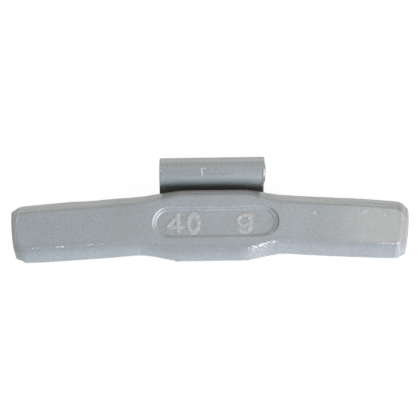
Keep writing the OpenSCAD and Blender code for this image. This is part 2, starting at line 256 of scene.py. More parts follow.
def bar_corners(s):
    """The six corners [u, f] of the bar's section at each distance s along it, from the lower back
    corner round the face to the upper back corner.

    The boss's edges ease out to the arms' edges, the upper one over its own length on each side, and
    its face eases down by the boss's rise. The arms' height tapers by a square law. At the ends every
    edge draws in over the slopes, and the corners fall off as straight cuts. Only the upper right
    corner is a quarter oval: its height times 1 less the root of 1 minus the share squared. Behind
    the clip's tongue the back stands at the channel's floor."""
    d = np.abs(s)
    from_end = BAR_LEN / 2 - d
    end = soft_slope(1 - from_end / END_SLOPE_W, END_SOFT)
    corner_w = np.where(s > 0, RIGHT_CORNER_W, LEFT_CORNER_W)
    corner = soft_slope(1 - from_end / corner_w, END_SOFT)
    in_round = np.clip(1 - from_end / RIGHT_ROUND_W, 0, 1)
    top_drop = np.where(s > 0, RIGHT_ROUND_H * (1 - np.sqrt(1 - in_round ** 2)),
                        LEFT_TOP_CORNER_H * corner)
    taper = ARM_TAPER * (np.maximum(0, d - RISE_END) / (BAR_LEN / 2 - RISE_END)) ** 2
    flat, reach = (np.where(s < BOSS_TOP_SHIFT, *sides) for sides in (BOSS_TOP_FLAT, BOSS_TOP_REACH))
    at_top = 1 - ease(flat, reach, np.abs(s - BOSS_TOP_SHIFT))
    at_foot = 1 - ease(BOSS_FOOT_FLAT, BOSS_FOOT_REACH, np.abs(s - BOSS_FOOT_SHIFT))
    face_f = ARM_F + BOSS_RISE * (1 - ease(RISE_START, RISE_END, d)) - END_SLOPE_D * end
    top_u = (ARM_TOP_U + (BOSS_TOP_U - ARM_TOP_U) * at_top + ARM_CREST * ease(*CREST_SPAN, d)
             - top_drop)
    foot_u = (ARM_FOOT_U + (BOSS_FOOT_U - BOSS_FULLNESS - ARM_FOOT_U) * at_foot + taper
              - FOOT_FULLNESS * (1 - ease(*FULL_FOOT_SPAN, d)) + FOOT_CORNER_H * corner)
    top_w = ARM_TOP_SLOPE_W + (BOSS_TOP_SLOPE_W - ARM_TOP_SLOPE_W) * at_top
    top_d = (ARM_TOP_SLOPE_D + (BOSS_TOP_SLOPE_D - ARM_TOP_SLOPE_D) * at_top) * (1 - end / 2)
    foot_w = ARM_FOOT_SLOPE_W + (BOSS_FOOT_SLOPE_W - ARM_FOOT_SLOPE_W) * at_foot
    foot_d = (ARM_FOOT_SLOPE_D + (BOSS_FOOT_SLOPE_D - ARM_FOOT_SLOPE_D) * at_foot) * (1 - end / 2)
    in_channel = np.abs(s - CLIP_SHIFT) < TONGUE_W / 2 + CHANNEL_GAP
    back_f = np.where(in_channel, TONGUE_FRONT_F + CHANNEL_GAP, BACK_F)
    u = [foot_u + (face_f - foot_d - back_f) * FOOT_DRAFT, foot_u, foot_u + foot_w,
         top_u - top_w, top_u, top_u - (face_f - top_d - back_f) * TOP_DRAFT]
    f = [back_f, face_f - foot_d, face_f, face_f, face_f - top_d, back_f]
    return np.stack([np.stack(u, -1), np.stack(f, -1)], -1)


def rounded_outline(corners, rounding, steps, between):
    """The outline through each section's corners: at each corner a quadratic curve from its
    rounding length before it to that length after it, and then evenly spaced points on the
    straight side to the next."""
    def reach(here, other, length):
        """The point that lies a length from here towards the other, or a little under halfway."""
        away = other - here
        size = np.linalg.norm(away, axis=-1, keepdims=True)
        return here + away / size * np.minimum(length[:, None], size / 2.2)

    t = np.linspace(0, 1, steps + 1)[:, None]
    parts = []
    for i, count in enumerate(between):
        before, here, after = (corners[:, (i + k) % len(between)] for k in (-1, 0, 1))
        start = reach(here, before, rounding[i])[:, None]
        stop = reach(here, after, rounding[i])[:, None]
        onward = reach(after, here, rounding[(i + 1) % len(between)])[:, None]
        parts.append(start * (1 - t) ** 2 + here[:, None] * 2 * t * (1 - t) + stop * t ** 2)
        share = np.linspace(0, 1, count + 2)[1:-1, None]
        parts.append(stop + (onward - stop) * share)
    return np.concatenate(parts, axis=1)


def stroke_distance(x, y, ax, ay, bx, by):
    """Distance of each point (x, y) from the straight stroke between (ax, ay) and (bx, by)."""
    lx, ly = bx - ax, by - ay
    t = np.clip(((x - ax) * lx + (y - ay) * ly) / (lx * lx + ly * ly), 0, 1)
    return np.hypot(x - ax - t * lx, y - ay - t * ly)


def bow_distance(x, y, cx, cy, rx, ry, low=-np.pi, high=np.pi):
    """Distance from the part of an oval stroke round (cx, cy) between two angles, taken as the
    scaled radius less one, times the smaller radius, and from the stroke's ends elsewhere."""
    k = np.hypot((x - cx) / rx, (y - cy) / ry)
    turn = np.arctan2((y - cy) / ry, (x - cx) / rx)
    ends = [np.hypot(x - cx - rx * np.cos(a), y - cy - ry * np.sin(a)) for a in (low, high)]
    on_bow = (turn >= low) & (turn <= high)
    return np.where(on_bow, np.abs(k - 1) * min(rx, ry), np.minimum(*ends))


def mark_height(x, y):
    """Height of the raised marks, a plain 40 and g, at points from the recess's middle: the full
    rise within half a stroke of a mark's middle line, and a smooth fall beyond it."""
    four = [stroke_distance(x, y, -7.55, 1.85, -9.7, -0.75),
            stroke_distance(x, y, -9.7, -0.75, -6.75, -0.75),
            stroke_distance(x, y, -7.55, 1.85, -7.55, -1.95)]
    nought = [bow_distance(x, y, -4.5, -0.05, 1.05, 1.8)]
    letter_g = [bow_distance(x, y, 5.8, 0.5, 1.2, 1.15),
                stroke_distance(x, y, 7.0, 1.7, 7.0, -0.9),
                bow_distance(x, y, 5.8, -0.9, 1.2, 1.05, -2.6, 0.0)]
    far = np.minimum.reduce(four + nought + letter_g)
    return MARK_RISE * (1 - ease(MARK_STROKE, MARK_STROKE + MARK_SOFT, far))


def recessed(x, u, f):
    """The face with its label recess pressed in: the new f, the mask of painted light and shade on the
    recess's wall, and the marks' share of their rise.

    Outside the floor's long round-ended outline the wall climbs back to the face in two steps with a
    ledge between them. It is wide at the ends and narrow along the sides, and at the right end the
    outer step is the higher and steeper one. The mask of painted light and shade is 4 times a step's
    share of its climb times the rest, so 1 halfway up it, and less on the inner step at the right
    end. It is also a half on the ledge at the left end, from about its middle upwards."""
    across, along = u - (BOSS_TOP_U - LABEL_DROP), x - LABEL_SHIFT
    over = np.maximum(0, np.abs(along) - (LABEL_LEN - LABEL_H) / 2)
    from_middle = np.hypot(over, across)
    outside = from_middle - LABEL_H / 2
    at_end = (over / (from_middle + 0.01)) ** 2
    at_right = at_end * (along > 0)
    at_left = at_end - at_right
    width = (at_end * np.where(along > 0, LABEL_RIGHT_W, LABEL_LEFT_W)
             + (1 - at_end) * np.where(across > 0, LABEL_TOP_W, LABEL_FOOT_W))
    start = LEFT_START * at_left + RIGHT_START * at_right
    inner = ease(*(start + edge for edge in INNER_STEP), outside)
    outer = ease(*(width + edge for edge in OUTER_STEP), outside)
    climb = inner + (outer - inner) * (OUTER_SHARE + OUTER_MORE_AT_RIGHT * at_right)
    on_inner = inner * (1 - inner) * (1 - INNER_SHADING_LOST * at_right)
    on_ledge = at_left * inner * (1 - outer) * ease(*LEDGE_SHADING_SPAN, across)
    # The mask that paints light and shade on the recess's wall
    wall_light_and_shade = np.maximum(4 * np.maximum(on_inner, outer * (1 - outer)), LEDGE_SHADING * on_ledge)
    marks = mark_height(along + MARK_WOBBLE * unevenness(x, u, size=1.3, seed=11), across)
    fade = np.clip(unevenness(x, u, size=1.1, seed=12), -1, 1)
    marks = marks * (1 - MARK_FADE + MARK_FADE * fade)
    floor = BOSS_F - LABEL_D + FLOOR_LUMP_H * unevenness(x, u, size=2.5, seed=5) + marks
    return floor + (f - floor) * climb, wall_light_and_shade, marks / MARK_RISE


def bar_stations():
    """Distances along the bar of its cross sections: close together at the ends and across the
    label, wider on the arms, and in pairs at the channel's two walls."""
    half, wall = BAR_LEN / 2, TONGUE_W / 2 + CHANNEL_GAP
    walls = CLIP_SHIFT + np.array([-wall - HAIR, -wall + HAIR, wall - HAIR, wall + HAIR])
    ends = np.linspace(half - END_LEN, half - END_ROUND, END_SECTIONS)
    arm_end = half - END_LEN - END_GAP
    return np.sort(np.concatenate([
        -ends, np.linspace(-arm_end, LABEL_FROM - LABEL_GAP, LEFT_ARM_SECTIONS),
        np.linspace(LABEL_FROM, LABEL_TO, LABEL_SECTIONS), walls,
        np.linspace(LABEL_TO + LABEL_GAP, arm_end, RIGHT_ARM_SECTIONS), ends]))


def along_the_arc(s, u, f):
    """Section points carried round the wheel's axle, which leans by the face's tilt.

    Towards the ends s grows by the bow, a parabola over the height, and the lower half of the left
    end draws in. The turn is s over the radius, of which only part follows a point's own radius, so
    that the ends lean half as much as radial cuts. In the middle it is the turn that keeps x = s, so
    that the channel's walls run straight."""
    off = (u - ARM_MID_U - END_BOW_UP) / (ARM_H / 2)
    near_end = ease(BAR_LEN / 2 - END_BOW_REACH, BAR_LEN / 2, np.abs(s))
    drawn_in = LEFT_FOOT_DRAW * (s < 0) * ease(*FOOT_DRAW_SPAN, ARM_MID_U - u)
    s = s + (np.sign(s) * END_BOW * (1 - off * off) + drawn_in) * near_end
    radial = u * np.cos(FACE_TILT) - f * np.sin(FACE_TILT)
    axial = u * np.sin(FACE_TILT) + f * np.cos(FACE_TILT)
    fanned = s / (BAR_R + (1 - END_LEAN) * (radial - BAR_OUT))
    straight = np.arcsin(s / (RIM_R + radial))
    turn = straight + (fanned - straight) * ease(*STRAIGHT_SPAN, np.abs(s))
    out = (RIM_R + radial) * np.cos(turn) - RIM_R
    return ((RIM_R + radial) * np.sin(turn), out * np.cos(FACE_TILT) + axial * np.sin(FACE_TILT),
            axial * np.cos(FACE_TILT) - out * np.sin(FACE_TILT))


def end_rounding(s, u, f):
    """Rings that close each end of the bar: a quarter-round edge, then level rings that shrink to
    the middle of the end's face."""
    turn = np.linspace(0, np.pi / 2, EDGE_RINGS + 1)[1:]
    level = np.linspace(*CLOSING_INSETS, CLOSING_RINGS)
    inset = np.concatenate([END_ROUND * (1 - np.cos(turn)), level])
    push = np.concatenate([END_ROUND * np.sin(turn), np.full(CLOSING_RINGS, END_ROUND)])

    def closing(i, sign):
        """The rings past section i: pushed along s by the sign, and shrunk by the inset."""
        mu, mf = (u[i].max() + u[i].min()) / 2, (f[i].max() + f[i].min()) / 2
        hu, hf = (u[i].max() - u[i].min()) / 2, (f[i].max() - f[i].min()) / 2
        return (s[i] + sign * push, mu + (u[i] - mu) * (1 - inset[:, None] / hu),
                mf + (f[i] - mf) * (1 - inset[:, None] / hf))

    return (np.concatenate([first[::-1], own, last])
            for first, own, last in zip(closing(0, -1), (s, u, f), closing(-1, 1)))


def cast_bar():
    """The bar's skin: rounded section outlines along the arc, lumpy by a few hundredths of a
    millimetre, with the recess and its marks pressed into the face.

    Its attributes are the distances in millimetres past the face's lower and upper creases, positive
    upwards, the mask of painted light and shade on the recess's wall, and the shares of the marks'
    rise and of the painted shadow under the hook."""
    s = bar_stations()
    corners = bar_corners(s)
    soft_crease = SOFT_CREASE * np.exp(-((s - SOFT_CREASE_AT) / SOFT_CREASE_REACH) ** 2)
    right_end = ease(BAR_LEN / 2 - RIGHT_SOFT_LEN, BAR_LEN / 2, s)
    back = np.full_like(s, BACK_ROUND)
    rounding = [back, np.full_like(s, FOOT_ROUND), CREASE_ROUND + soft_crease,
                CREASE_ROUND + RIGHT_SOFT_CREASE * right_end,
                TOP_ROUND + RIGHT_SOFT_TOP * right_end, back]
    outline = rounded_outline(corners, rounding, CORNER_STEPS, SIDE_POINTS)
    girth = np.cumsum(np.linalg.norm(outline - np.roll(outline, 1, axis=1), axis=-1), axis=1)
    lower, upper = (
        girth[:, [sum(SIDE_POINTS[:corner]) + corner * (CORNER_STEPS + 1) + CORNER_STEPS // 2]]
        for corner in (2, 3))
    tangent = np.roll(outline, -1, axis=1) - np.roll(outline, 1, axis=1)
    tangent /= np.linalg.norm(tangent, axis=-1, keepdims=True)
    lumps = (WIDE_LUMP_H * unevenness(s[:, None], girth, WIDE_LUMP_SIZE, seed=3)
             + FINE_LUMP_H * unevenness(s[:, None], girth, FINE_LUMP_SIZE, seed=4) - BAR_SINK)
    lumps *= outline[..., 1] > BACK_F + SMOOTH_BACK
    slope = np.linalg.norm(corners[:, 4] - corners[:, 3], axis=-1)[:, None]
    s, u, f = end_rounding(s, outline[..., 0] - tangent[..., 1] * lumps,
                           outline[..., 1] + tangent[..., 0] * lumps)
    rings = EDGE_RINGS + CLOSING_RINGS
    past_lower, past_upper, slope_share = (
        np.pad(away, ((rings, rings), (0, 0)), "edge")
        for away in (girth - lower, girth - upper, (girth - upper) / slope))
    x, u, f = along_the_arc(s[:, None], u, f)
    on_face = (f > BOSS_F - FACE_DEPTH) & (np.abs(x) < FACE_REACH)
    sunk, wall_light_and_shade, marks = recessed(x, u, f)
    f = np.where(on_face, sunk, f)
    # The painted shadow of the hook on the boss's top slope
    beside = 1 - ease(*(CLIP_W / 2 - edge for edge in HOOK_SHADOW_EDGE), np.abs(x - CLIP_SHIFT))
    painted_hook_shadow = beside * ease(*HOOK_SHADOW_SPAN, slope_share) * (past_upper < HOOK_SHADOW_END)
    return closed_skin("cast_bar", placed(x - CLIP_SHIFT, u, f), [
        ("past lower crease", past_lower), ("past upper crease", past_upper),
        ("recess wall", wall_light_and_shade * on_face), ("mark", marks * on_face), ("painted_hook_shadow", painted_hook_shadow)])


def pressed_lips():
    """The four lips of the bar's own metal that are pressed over the tongue's back: one bevelled
    outline in the [x, f] plane, carried along u. It draws in towards both ends by the sixth power of
    the share of the way."""
    wall, over = TONGUE_W / 2 + CHANNEL_GAP, TONGUE_W / 2 - LIP_OVER
    seat, far = TONGUE_BACK_F - CHANNEL_GAP, wall + LIP_ROOT
    root = seat + LIP_SUNK
    outline = np.array([
        [over, seat], [wall, seat], [wall, root], [far, root], [far, BACK_F],
        [wall + LIP_ROOT * 0.85, seat - LIP_T * 0.4], [wall + LIP_ROOT * 0.5, seat - LIP_T * 0.8],
        [wall, seat - LIP_T], [over + LIP_T * 0.6, seat - LIP_T], [over + 0.08, seat - LIP_T * 0.75],
        [over, seat - LIP_T * 0.5]])
    t = np.linspace(-1, 1, 15)
    drawn_in = 1 - 0.6 * np.abs(t) ** 6
    middle = np.array([wall, seat - LIP_T * 0.3])
    rings = middle + (outline[None] - middle) * drawn_in[:, None, None]
    rings[..., 1] = np.maximum(rings[..., 1], seat - LIP_T)
    meshes = []
    for share in (0.3, 0.7):
        for side in (-1, 1):
            u = BOSS_TOP_U - BOSS_H * share + side * t * LIP_LEN / 2
            ring = placed(side * rings[..., 0], u[:, None] + 0 * rings[..., 1], rings[..., 1])
            meshes.append(closed_skin("lip", ring[::-1]))
    return meshes


# The spring clip

def strip_path():
    """The strip's middle line in the [f, u] plane from the tongue's end to the rear leg's tip: a
    straight tongue, an arc under the hook's front, the hook's arc, a straight leg and the flare's
    arc. Returns the points, the outward normals and the distance along the line."""
    def arc(cf, cu, r, a0, a1, side, count):
        """Points on a circle round (cf, cu) between two angles, with normals out of it or into it."""
        a = np.linspace(a0, a1, count)
        normal = np.stack([np.cos(a), np.sin(a)], -1)
        return np.array([cf, cu]) + r * normal, side * normal

    def line(start, stop, normal, count):
        """Evenly spaced points between two others, all with the same normal."""
        share = np.linspace(0, 1, count + 2)[1:-1, None]
        return start + (stop - start) * share, np.repeat(normal[None], count, 0)

    neck = arc(NECK_F, NECK_U, NECK_MID_R, np.pi, np.pi - FRONT_TURN, -1, NECK_POINTS)
    hook = arc(0, 0, HOOK_MID_R, -FRONT_TURN, np.pi + LEG_LEAN, 1, HOOK_POINTS)
    flare = arc(FLARE_F, FLARE_U, FLARE_MID_R, LEG_LEAN, FLARE_END, -1, FLARE_POINTS)
    foot = np.array([NECK_F - NECK_MID_R, TONGUE_FOOT_U])
    tongue = line(foot, neck[0][0], neck[1][0], TONGUE_POINTS)
    shoulder = np.array([[foot[0], SHOULDER_U - HAIR], [foot[0], SHOULDER_U + HAIR]])
    tongue_points = np.concatenate([foot[None], tongue[0], shoulder])
    tongue_points = tongue_points[np.argsort(tongue_points[:, 1])]
    tongue = tongue_points, np.repeat(neck[1][:1], len(tongue_points), 0)
    leg = line(hook[0][-1], flare[0][0], hook[1][-1], LEG_POINTS)
    joined = [tongue, neck, (hook[0][1:], hook[1][1:]), leg, flare]
    points, normals = (np.concatenate([part[k] for part in joined]) for k in (0, 1))
    steps = np.linalg.norm(np.diff(points, axis=0), axis=1)
    return points, normals, np.concatenate([[0], np.cumsum(steps)])


def spring_strip():
    """The clip's skin: a flat section with rounded edges carried along the strip's middle line.

    The half width is the tongue's below the shoulders and the strip's above them, and it draws in
    to a quarter round at the rear leg's corners. Beside the hook's front the right edge bulges out
    in a burr, and it draws in a little under it and behind. Its attributes are the distance along
    the strip, the place across it from -1 to 1, and the shares of the painted highlight on the burr's
    bevel, of the painted shade line inside it, of the painted shadow in the neck under the hook and
    of the painted sheen on the hook's front."""
    points, normals, t = strip_path()
    half_w = np.where((points[:, 1] < SHOULDER_U) & (t < TONGUE_END), TONGUE_W / 2, CLIP_W / 2)
    left = np.clip(LEG_CORNER_R - (t[-1] - t), 0, LEG_CORNER_R)
    half_w = half_w - LEG_CORNER_R + np.sqrt(LEG_CORNER_R ** 2 - left ** 2)
    turn = np.linspace(0, np.pi / 2, 5)
    side = np.concatenate([np.linspace(0.998, 0.93, 12), np.linspace(0.9, -0.99, 60)])
    arc_x, arc_n = STRIP_EDGE_R * np.sin(turn), STRIP_EDGE_R * np.cos(turn)
    rim = np.ones(2 * len(turn))
    across = np.concatenate([side, -rim, side[::-1], rim])
    more_x = np.concatenate([0 * side, -arc_x, -arc_x[::-1], 0 * side, arc_x, arc_x[::-1]])
    depth = CLIP_T / 2 - STRIP_EDGE_R
    n = np.concatenate([0 * side + CLIP_T / 2, depth + arc_n, -depth - arc_n[::-1],
                        0 * side - CLIP_T / 2, -depth - arc_n, depth + arc_n[::-1]])
    x = across * (half_w[:, None] - STRIP_EDGE_R) + more_x
    front = np.arctan2(points[:, 1], points[:, 0])[:, None]
    on_front = t[:, None] < FRONT_END
    full_width = half_w[:, None] > CLIP_W / 2 - 0.01
    burr = BURR_W * hump(*BURR_TURN, front) * on_front
    pinch = PINCH_W * (1 - ease(*PINCH_TURN, front)) * on_front * full_width
    drawn_in = REAR_DRAW * ease(*REAR_SPAN, t[:, None])
    x = x + (burr - pinch - drawn_in) * ease(*NEAR_EDGE, across)
    lumps = STRIP_LUMP_H * unevenness(t[:, None], x, STRIP_LUMP_SIZE, seed=8) - STRIP_SINK
    n = n + lumps * (np.abs(n) >= CLIP_T / 2 - 0.01)
    shrink = np.ones((len(t), 1))
    shrink[[0, -1]] = 1 - STRIP_EDGE_R / CLIP_T
    f = points[:, :1] + normals[:, :1] * n * shrink
    u = points[:, 1:] + normals[:, 1:] * n * shrink
    outer = ease(-0.3, 0.3, n) * on_front
    # A painted highlight on the burr's bevel
    bevel = hump(*GLINT_X, x) * hump(*GLINT_TURN, front) * outer
    # A painted shade line along the crease inside the burr's bevel
    line = (1 - ease(*LINE_REACH, np.abs(x - LINE_X))) * (1 - ease(*LINE_TURN, front)) * outer
    # A painted shadow in the neck under the hook
    neck_shadow = 1 - ease(*NECK_TURN, front + NECK_LEAN * ease(*NECK_LEAN_X, x))
    neck_shadow = neck_shadow * (1 - NECK_FADE * ease(*NECK_FADE_X, x)) * outer
    # A painted sheen on the hook's front
    front_sheen = hump(*SHEEN_TURN, front) * outer
    return closed_skin("spring_strip", placed(x, u, f), [
        ("along", t[:, None]), ("across", across), ("bevel", bevel), ("line", line),
        ("neck_shadow", neck_shadow), ("front_sheen", front_sheen)])


# Materials

# The coat's greys, and what is mixed over them: thin coat and painted sheen, dark steel and
# painted shade, and bare metal and painted highlights
BAR_GREY, CLIP_GREY = (0.33, 0.36, 0.38), (0.31, 0.34, 0.36)
THIN_COAT_AND_SHEEN, DARK_STEEL_AND_SHADE = (0.62, 0.59, 0.565, 1), (0.02, 0.02, 0.02, 1)
BARE_METAL_AND_HIGHLIGHTS = (0.9, 0.92, 0.92, 1)

# Directions up the bar's face and out of it
FACE_UP, FACE_OUT = (0, 0.94, 0.34), (0, -0.34, 0.94)

# Stretches of the lower crease that are worn and strewn with flecks, each with its softness
WORN = [(-35.9, -34.6, 0.2), (-31.4, -29.1, 0.3), (-25.3, -23.2, 0.3), (-22.3, -21.9, 0.2),
        (34.0, 38.4, 0.4)]
STREWN, FAINTLY_STREWN = (34.0, 38.4, 0.4), (30.2, 31.3, 0.3)

# Where the right arm's painted sheen in pale blotches begins, and the painted sparkle and painted
# glow right of the boss's middle
RIGHT_ARM, SPARKLE_PATCH, SPARKLE_GLOW = (22.0, 31.0), (7.9, 12.6, 1.0), (6.8, 11.4, 1.0)

# The bar's double scratch, and a painted highlight down the edge of its right end, as nicks()
# takes them
BAR_SCRATCHES_AND_GLINT = [
    ((31.15, -12.28, 3.49), 0.66, 0.6, 0.07, 0.4), ((31.67, -12.39, 3.5), 0.62, 0.5, 0.07, 0.35),
    ((38.14, -19.2, 0.06), 0.0, 1.0, 0.05, 0.35)]

# The bar's bright dots, dents and chipped left end
BAR_DOTS = [
    ((35.17, -13.25, 3.61), 0.0, 0.1, 0.1, 0.6), ((-36.04, -12.06, 4.04), 0.4, 0.12, 0.12, 0.35),
    ((21.1, -11.76, 2.75), 0.3, 0.35, 0.26, 0.22), ((-14.6, -18.1, -1.1), -0.6, 0.3, 0.1, 0.25),
    ((12.43, -15.3, 1.14), 0.0, 0.14, 0.14, 0.9), ((-38.95, -12.7, 3.7), 0.18, 1.7, 0.14, 0.2),
    ((-39.25, -15.1, 2.8), 0.0, 0.7, 0.1, 0.28), ((12.9, -17.23, 0.52), 0.0, 0.17, 0.15, 0.9),
    ((13.6, -17.3, 0.5), 0.0, 0.12, 0.1, 0.4)]

# The bar's small dark holes
BAR_HOLES = [
    ((21.8, -11.7, 2.82), 0.2, 0.35, 0.1, 0.22), ((-18.0, -9.4, 3.37), 0.0, 0.14, 0.12, 0.5),
    ((-18.7, -9.45, 3.4), 0.0, 0.1, 0.1, 0.35), ((-39.04, -17.74, 1.69), 0.0, 0.12, 0.1, 0.3)]

# The T-shaped scratch on the hook's front
CLIP_SCRATCHES = [
    ((-1.9, -1.5, 3.15), -0.03, 0.8, 0.13, 0.5), ((-1.55, -0.82, 3.48), 1.57, 0.55, 0.08, 0.4)]


def shader(tree, kind, inputs=None, **settings):
    """One node of a node tree, with its settings made and its inputs set or linked by name."""
    made = tree.nodes.new(kind)
    for name, value in settings.items():
        setattr(made, name, value)
    for name, value in (inputs or {}).items():
        if isinstance(value, bpy.types.NodeSocket):
            tree.links.new(value, made.inputs[name])
        else:
            made.inputs[name].default_value = value
    return made


def empty_tree(owner):
    """The node tree of a new material or world, without its first nodes."""
    owner.use_nodes = True
    owner.node_tree.nodes.clear()
    return owner.node_tree


def math(tree, operation, *values):
    """Numbers or sockets taken together, one after the other, by an arithmetic node each."""
    result = values[0]
    for value in values[1:]:
        result = shader(tree, "ShaderNodeMath", {0: result, 1: value}, operation=operation).outputs[0]
    return result


def mixed(tree, share, a, b):
    """Colour a with a share of colour b over it."""
    made = tree.nodes.new("ShaderNodeMix")
    made.data_type = "RGBA"
    sockets = {socket.identifier: socket for socket in made.inputs}
    for name, value in (("Factor_Float", share), ("A_Color", a), ("B_Color", b)):
        if isinstance(value, bpy.types.NodeSocket):
            tree.links.new(value, sockets[name])
        else:
            sockets[name].default_value = value
    return next(socket for socket in made.outputs if socket.identifier == "Result_Color")


def remap(tree, value, low, high, to_low=0.0, to_high=1.0):
    """A value between low and high carried over smoothly to the span between two others."""
    return shader(tree, "ShaderNodeMapRange", {
        "Value": value, "From Min": low, "From Max": high, "To Min": to_low, "To Max": to_high,
    }, interpolation_type="SMOOTHSTEP").outputs["Result"]


def scaled(tree, value, by):
    """A vector or a colour times a number."""
    return shader(tree, "ShaderNodeVectorMath", {0: value, "Scale": by}, operation="SCALE").outputs[0]


def millimetres(tree):
    """The Object coordinates in millimetres."""
    return scaled(tree, shader(tree, "ShaderNodeTexCoord").outputs["Object"], 1 / MM)


def noise(tree, place, scale, detail=0.0, rough=0.5):
    """Noise from 0 to 1 with this many lumps to a millimetre."""
    return shader(tree, "ShaderNodeTexNoise", {
        "Vector": place, "Scale": scale, "Detail": detail, "Roughness": rough}).outputs["Fac"]


def moved(tree, place, by):
    """The place moved by a fixed step, to draw other noise there."""
    return shader(tree, "ShaderNodeVectorMath", {0: place, 1: by}, operation="ADD").outputs[0]


def times(tree, *values):
    """The product of several values."""
    return math(tree, "MULTIPLY", *values)


def total(tree, *values):
    """The sum of several values."""
    return math(tree, "ADD", *values)


def most(tree, *values):
    """The largest of several values."""
    return math(tree, "MAXIMUM", *values)


def size_of(tree, value):
    """A value without its sign."""
    return shader(tree, "ShaderNodeMath", {0: value}, operation="ABSOLUTE").outputs[0]


def within(tree, value, low, high, soft):
    """1 between low and high, with soft edges."""
    return times(tree, remap(tree, value, low - soft, low + soft),
                 remap(tree, value, high + soft, high - soft))


def beside_line(tree, value, middle, reach):
    """1 where a value is a line's own, falling to 0 at the reach on both sides."""
    return remap(tree, size_of(tree, math(tree, "SUBTRACT", value, middle)), reach, 0.0)


def marked(tree, name):
    """A mesh attribute's value."""
    return shader(tree, "ShaderNodeAttribute", attribute_name=name).outputs["Fac"]


def group(name, inputs, outputs):
    """A new node group with its sockets: its tree, what it is given and where its results go."""
    tree = bpy.data.node_groups.new(name, "ShaderNodeTree")
    for label, kind, value in inputs:
        tree.interface.new_socket(label, in_out="INPUT", socket_type=kind).default_value = value
    for label in outputs:
        tree.interface.new_socket(label, in_out="OUTPUT", socket_type="NodeSocketFloat")
    return tree, tree.nodes.new("NodeGroupInput").outputs, tree.nodes.new("NodeGroupOutput").inputs


def coat_grain():
    """The sprayed coat's texture, shared by both finishes.

    Shade is a factor on the coat's colour, with fine grain and wide mottling round 1. Height is the
    grain and the orange peel for a bump. Specks is 1 on sparse bright dots."""
    tree, given, put = group("coat grain", [
        ("Grain", "NodeSocketFloat", 0.7), ("Mottle", "NodeSocketFloat", 0.12),
        ("Specks", "NodeSocketFloat", 0.7)], ("Shade", "Height", "Specks"))
    place = millimetres(tree)
    fine, peel = noise(tree, place, 3.4, 2.0, 0.6), noise(tree, place, 1.3, 2.0)
    wide = noise(tree, place, 0.16, 3.0, 0.6)
    dots = noise(tree, moved(tree, place, (9, 4, 2)), 4.5, 1.0)
    grain = times(tree, math(tree, "SUBTRACT", fine, 0.5), given["Grain"])
    mottle = times(tree, math(tree, "SUBTRACT", wide, 0.5), given["Mottle"])
    height = total(tree, times(tree, fine, 0.5), times(tree, peel, 0.5))
    specks = remap(tree, dots, given["Specks"], total(tree, given["Specks"], 0.05))
    tree.links.new(total(tree, grain, mottle, 1.0), put["Shade"])
    tree.links.new(height, put["Height"])
    tree.links.new(specks, put["Specks"])
    return tree


def nick():
    """A small straight mark, such as a scratch, a chip or a dot: 1 within a half length and a half
    width of a point, in millimetres, with a ragged edge. Turn leans it to the right, in radians."""
    tree, given, put = group("nick", [
        ("At", "NodeSocketVector", (0, 0, 0)), ("Turn", "NodeSocketFloat", 0.0),
        ("Half length", "NodeSocketFloat", 0.5), ("Half width", "NodeSocketFloat", 0.1)], ("Mask",))
    place = millimetres(tree)
    away = shader(tree, "ShaderNodeVectorMath", {0: place, 1: given["At"]},
                  operation="SUBTRACT").outputs[0]
    turned = shader(tree, "ShaderNodeVectorRotate", {
        "Vector": away, "Center": (0, 0, 0), "Axis": FACE_OUT, "Angle": given["Turn"]}).outputs[0]
    ragged = times(tree, math(tree, "SUBTRACT", noise(tree, place, 5.0), 0.5), 0.15)

    def offset(axis):
        """How far a point lies from the mark's middle along an axis, to either side."""
        return size_of(tree, shader(tree, "ShaderNodeVectorMath", {
            0: turned, 1: axis}, operation="DOT_PRODUCT").outputs["Value"])

    beside = math(tree, "SUBTRACT", given["Half width"], total(tree, offset((1, 0, 0)), ragged))
    beyond = math(tree, "SUBTRACT", given["Half length"], offset(FACE_UP))
    tree.links.new(times(tree, remap(tree, beside, -0.05, 0.05), remap(tree, beyond, -0.08, 0.08),
                         remap(tree, offset(FACE_OUT), 1.6, 1.4)), put["Mask"])
    return tree


def nicks(tree, kind, places):
    """The largest of several nicks, each given as its place, turn, half length, half width and
    strength."""
    masks = []
    for at, turn, half_length, half_width, strength in places:
        made = shader(tree, "ShaderNodeGroup", node_tree=kind)
        for name, value in (("At", at), ("Turn", turn), ("Half length", half_length),
                            ("Half width", half_width)):
            made.inputs[name].default_value = value
        masks.append(times(tree, made.outputs["Mask"], strength))
    return most(tree, *masks)


def coat(name, colour, roughness, marks, grain, small_nick):
    """The satin grey coat of one piece: its colour times the grain's shade, and over it what marks()
    gives, a factor on the colour that holds painted light and shade, the shares of thin pale coat and
    painted sheen, of dark bare steel and painted shade and of bright bare metal and painted
    highlights, and the depth of its grooves."""
    material = bpy.data.materials.new(name)
    tree = empty_tree(material)
    texture = shader(tree, "ShaderNodeGroup", node_tree=grain).outputs
    factor, pale, dark, bright, grooves = marks(tree, small_nick)
    bright = most(tree, bright, times(tree, texture["Specks"], 0.1))
    finished = scaled(tree, colour, times(tree, texture["Shade"], factor))
    # Over the coat go thin coat and painted sheen, dark steel and painted shade, bare metal and
    # painted highlights
    for share, over in ((pale, THIN_COAT_AND_SHEEN), (dark, DARK_STEEL_AND_SHADE), (bright, BARE_METAL_AND_HIGHLIGHTS)):
        finished = mixed(tree, share, finished, over)
    height = math(tree, "SUBTRACT", texture["Height"], grooves)
    bump = shader(tree, "ShaderNodeBump", {"Height": height, "Strength": 0.4, "Distance": 0.1 * MM})
    surface = shader(tree, "ShaderNodeBsdfPrincipled", {
        "Base Color": finished, "Roughness": roughness, "Normal": bump.outputs["Normal"], "IOR": 1.5})
    shader(tree, "ShaderNodeOutputMaterial", {"Surface": surface.outputs["BSDF"]})
    return material


